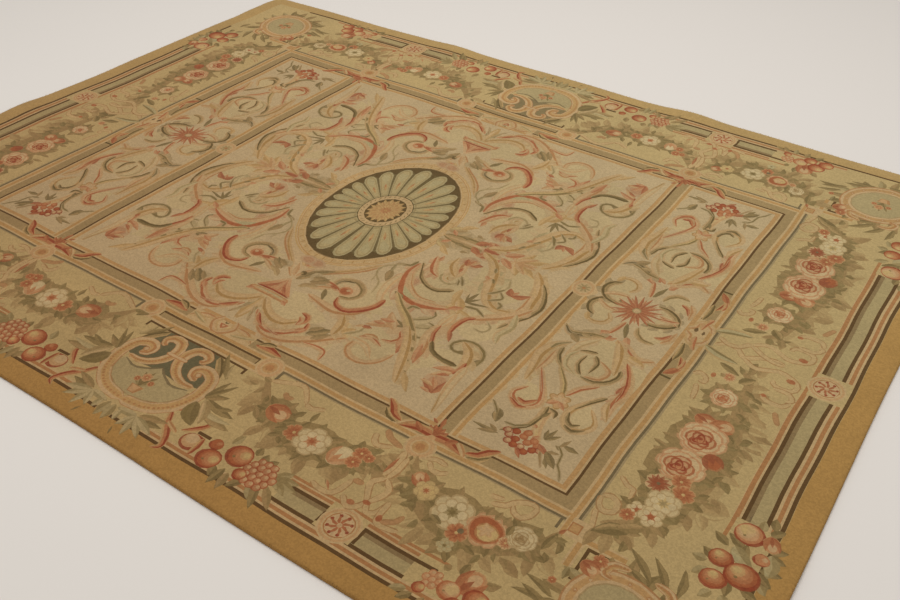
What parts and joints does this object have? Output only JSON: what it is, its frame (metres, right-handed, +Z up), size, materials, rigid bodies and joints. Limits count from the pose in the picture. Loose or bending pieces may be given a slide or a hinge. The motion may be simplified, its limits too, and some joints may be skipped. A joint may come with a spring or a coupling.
{
  "type": "aubusson rug",
  "caption": "Large rectangular pile rug lying flat, with an oval fluted medallion, scrolling field panels, a garlanded border and a plain gold edge.",
  "frame": {"origin": "middle of the flat underside, on the floor", "axes": "+X along the long side, +Y along the short side towards the far edge, +Z up out of the pile"},
  "size_m": [3.5619, 2.7496, 0.017],
  "materials": {
    "wool_pile": "cut wool pile in beige, cream, gold, olive, rose and dark brown, with a plain gold edge and an undyed woven back"
  },
  "bodies": {
    "root": {"knotted_carpet": "wool_pile"}
  },
  "joints": []
}
